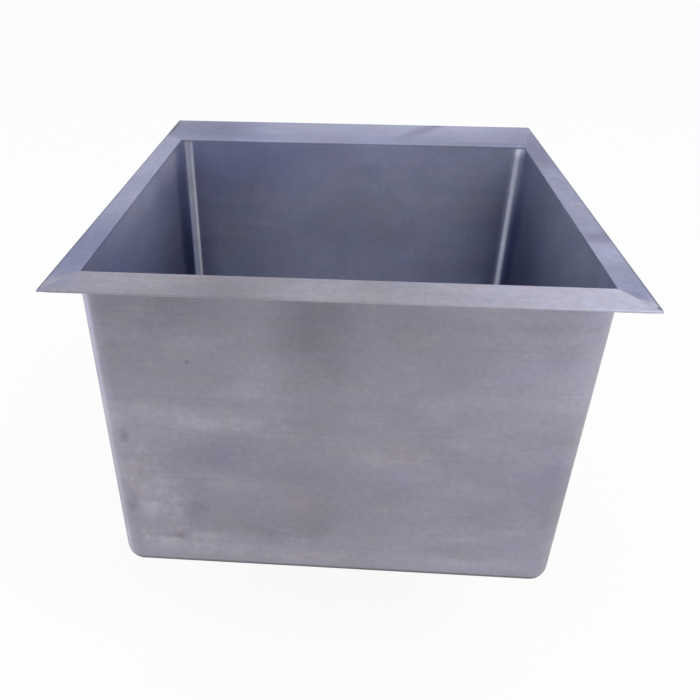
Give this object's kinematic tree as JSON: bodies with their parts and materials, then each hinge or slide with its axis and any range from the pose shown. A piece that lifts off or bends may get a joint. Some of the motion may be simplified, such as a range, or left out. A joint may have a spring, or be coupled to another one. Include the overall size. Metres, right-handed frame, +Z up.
{
  "type": "drop-in sink",
  "caption": "Deep single-bowl drop-in sink in brushed stainless sheet, with a flat mitred rim, coved corners, swing-out clamps under the rim and a basket strainer drain.",
  "frame": {"origin": "centre of the rim's outline on the worktop, the plane that the rim's seal rests on", "axes": "+X to the right, -Y to the front, where the rim is narrower, +Z up"},
  "size_m": [0.4952, 0.5312, 0.5277],
  "materials": {
    "bowl_steel": "satin brushed",
    "seal_foam": "soft grey",
    "zinc_steel": "bright zinc plated",
    "drain_steel": "polished",
    "black_rubber": "matte",
    "fibre": "pressed fibre",
    "cast_brass": "as cast",
    "chrome": "polished",
    "white_plastic": "smooth"
  },
  "bodies": {
    "sink": {"rim_front": "bowl_steel", "rim_rear": "bowl_steel", "rim_left": "bowl_steel", "rim_right": "bowl_steel", "bowl_walls": "bowl_steel", "bowl_floor": "bowl_steel", "rim_seal": "seal_foam", "clamp_studs": "zinc_steel", "strainer_body": "drain_steel", "outlet_spud": "cast_brass", "flange_seal": "black_rubber", "drain_gasket": "black_rubber", "friction_washer": "fibre", "drain_locknut": "cast_brass", "tailpiece": "chrome", "tailpiece_washer": "white_plastic", "coupling_nut": "chrome"},
    "clamp_1_carrier": {"clamp_washer_1": "zinc_steel"},
    "clamp_1_claw": {"clamp_claw_1": "zinc_steel"},
    "clamp_1_nut": {"clamp_nut_1": "zinc_steel"},
    "clamp_2_carrier": {"clamp_washer_2": "zinc_steel"},
    "clamp_2_claw": {"clamp_claw_2": "zinc_steel"},
    "clamp_2_nut": {"clamp_nut_2": "zinc_steel"},
    "clamp_3_carrier": {"clamp_washer_3": "zinc_steel"},
    "clamp_3_claw": {"clamp_claw_3": "zinc_steel"},
    "clamp_3_nut": {"clamp_nut_3": "zinc_steel"},
    "clamp_4_carrier": {"clamp_washer_4": "zinc_steel"},
    "clamp_4_claw": {"clamp_claw_4": "zinc_steel"},
    "clamp_4_nut": {"clamp_nut_4": "zinc_steel"},
    "clamp_5_carrier": {"clamp_washer_5": "zinc_steel"},
    "clamp_5_claw": {"clamp_claw_5": "zinc_steel"},
    "clamp_5_nut": {"clamp_nut_5": "zinc_steel"},
    "clamp_6_carrier": {"clamp_washer_6": "zinc_steel"},
    "clamp_6_claw": {"clamp_claw_6": "zinc_steel"},
    "clamp_6_nut": {"clamp_nut_6": "zinc_steel"},
    "basket": {"basket_cup": "drain_steel", "post_sleeve": "drain_steel"},
    "stopper": {"basket_post": "chrome", "basket_knob": "chrome", "basket_stopper": "black_rubber"}
  },
  "joints": [
    {"name": "clamp_1_rise", "type": "slide", "parent": "sink", "child": "clamp_1_carrier", "axis": [0, 0, 1], "range_m": [0, 0.0384]},
    {"name": "clamp_1_nut_turn", "type": "hinge", "parent": "clamp_1_carrier", "child": "clamp_1_nut", "pos_m": [-0.2351, -0.15, -0.0635], "axis": [0, 0, 1], "range_deg": [0, 17280]},
    {"name": "clamp_1_claw_swing", "type": "hinge", "parent": "clamp_1_carrier", "child": "clamp_1_claw", "pos_m": [-0.2351, -0.15, -0.05925], "axis": [0, 0, 1], "range_deg": [0, 90]},
    {"name": "clamp_2_rise", "type": "slide", "parent": "sink", "child": "clamp_2_carrier", "axis": [0, 0, 1], "range_m": [0, 0.0384]},
    {"name": "clamp_2_nut_turn", "type": "hinge", "parent": "clamp_2_carrier", "child": "clamp_2_nut", "pos_m": [-0.2351, 0.09, -0.0635], "axis": [0, 0, 1], "range_deg": [0, 17280]},
    {"name": "clamp_2_claw_swing", "type": "hinge", "parent": "clamp_2_carrier", "child": "clamp_2_claw", "pos_m": [-0.2351, 0.09, -0.05925], "axis": [0, 0, -1], "range_deg": [0, 90]},
    {"name": "clamp_3_rise", "type": "slide", "parent": "sink", "child": "clamp_3_carrier", "axis": [0, 0, 1], "range_m": [0, 0.0384]},
    {"name": "clamp_3_nut_turn", "type": "hinge", "parent": "clamp_3_carrier", "child": "clamp_3_nut", "pos_m": [0.2351, -0.15, -0.0635], "axis": [0, 0, 1], "range_deg": [0, 17280]},
    {"name": "clamp_3_claw_swing", "type": "hinge", "parent": "clamp_3_carrier", "child": "clamp_3_claw", "pos_m": [0.2351, -0.15, -0.05925], "axis": [0, 0, -1], "range_deg": [0, 90]},
    {"name": "clamp_4_rise", "type": "slide", "parent": "sink", "child": "clamp_4_carrier", "axis": [0, 0, 1], "range_m": [0, 0.0384]},
    {"name": "clamp_4_nut_turn", "type": "hinge", "parent": "clamp_4_carrier", "child": "clamp_4_nut", "pos_m": [0.2351, 0.09, -0.0635], "axis": [0, 0, 1], "range_deg": [0, 17280]},
    {"name": "clamp_4_claw_swing", "type": "hinge", "parent": "clamp_4_carrier", "child": "clamp_4_claw", "pos_m": [0.2351, 0.09, -0.05925], "axis": [0, 0, 1], "range_deg": [0, 90]},
    {"name": "clamp_5_rise", "type": "slide", "parent": "sink", "child": "clamp_5_carrier", "axis": [0, 0, 1], "range_m": [0, 0.0384]},
    {"name": "clamp_5_nut_turn", "type": "hinge", "parent": "clamp_5_carrier", "child": "clamp_5_nut", "pos_m": [-0.12, 0.2522, -0.0635], "axis": [0, 0, 1], "range_deg": [0, 17280]},
    {"name": "clamp_5_claw_swing", "type": "hinge", "parent": "clamp_5_carrier", "child": "clamp_5_claw", "pos_m": [-0.12, 0.2522, -0.05925], "axis": [0, 0, 1], "range_deg": [0, 90]},
    {"name": "clamp_6_rise", "type": "slide", "parent": "sink", "child": "clamp_6_carrier", "axis": [0, 0, 1], "range_m": [0, 0.0384]},
    {"name": "clamp_6_nut_turn", "type": "hinge", "parent": "clamp_6_carrier", "child": "clamp_6_nut", "pos_m": [0.12, 0.2522, -0.0635], "axis": [0, 0, 1], "range_deg": [0, 17280]},
    {"name": "clamp_6_claw_swing", "type": "hinge", "parent": "clamp_6_carrier", "child": "clamp_6_claw", "pos_m": [0.12, 0.2522, -0.05925], "axis": [0, 0, -1], "range_deg": [0, 90]},
    {"name": "basket_lift", "type": "slide", "parent": "sink", "child": "basket", "axis": [0, 0, 1], "range_m": [0, 0.42]},
    {"name": "stopper_lift", "type": "slide", "parent": "basket", "child": "stopper", "axis": [0, 0, 1], "range_m": [0, 0.007]}
  ],
  "couplings": [
    {"joint": "clamp_1_nut_turn", "follows": "clamp_1_rise", "rad_per_m": 7854},
    {"joint": "clamp_2_nut_turn", "follows": "clamp_2_rise", "rad_per_m": 7854},
    {"joint": "clamp_3_nut_turn", "follows": "clamp_3_rise", "rad_per_m": 7854},
    {"joint": "clamp_4_nut_turn", "follows": "clamp_4_rise", "rad_per_m": 7854},
    {"joint": "clamp_5_nut_turn", "follows": "clamp_5_rise", "rad_per_m": 7854},
    {"joint": "clamp_6_nut_turn", "follows": "clamp_6_rise", "rad_per_m": 7854}
  ]
}
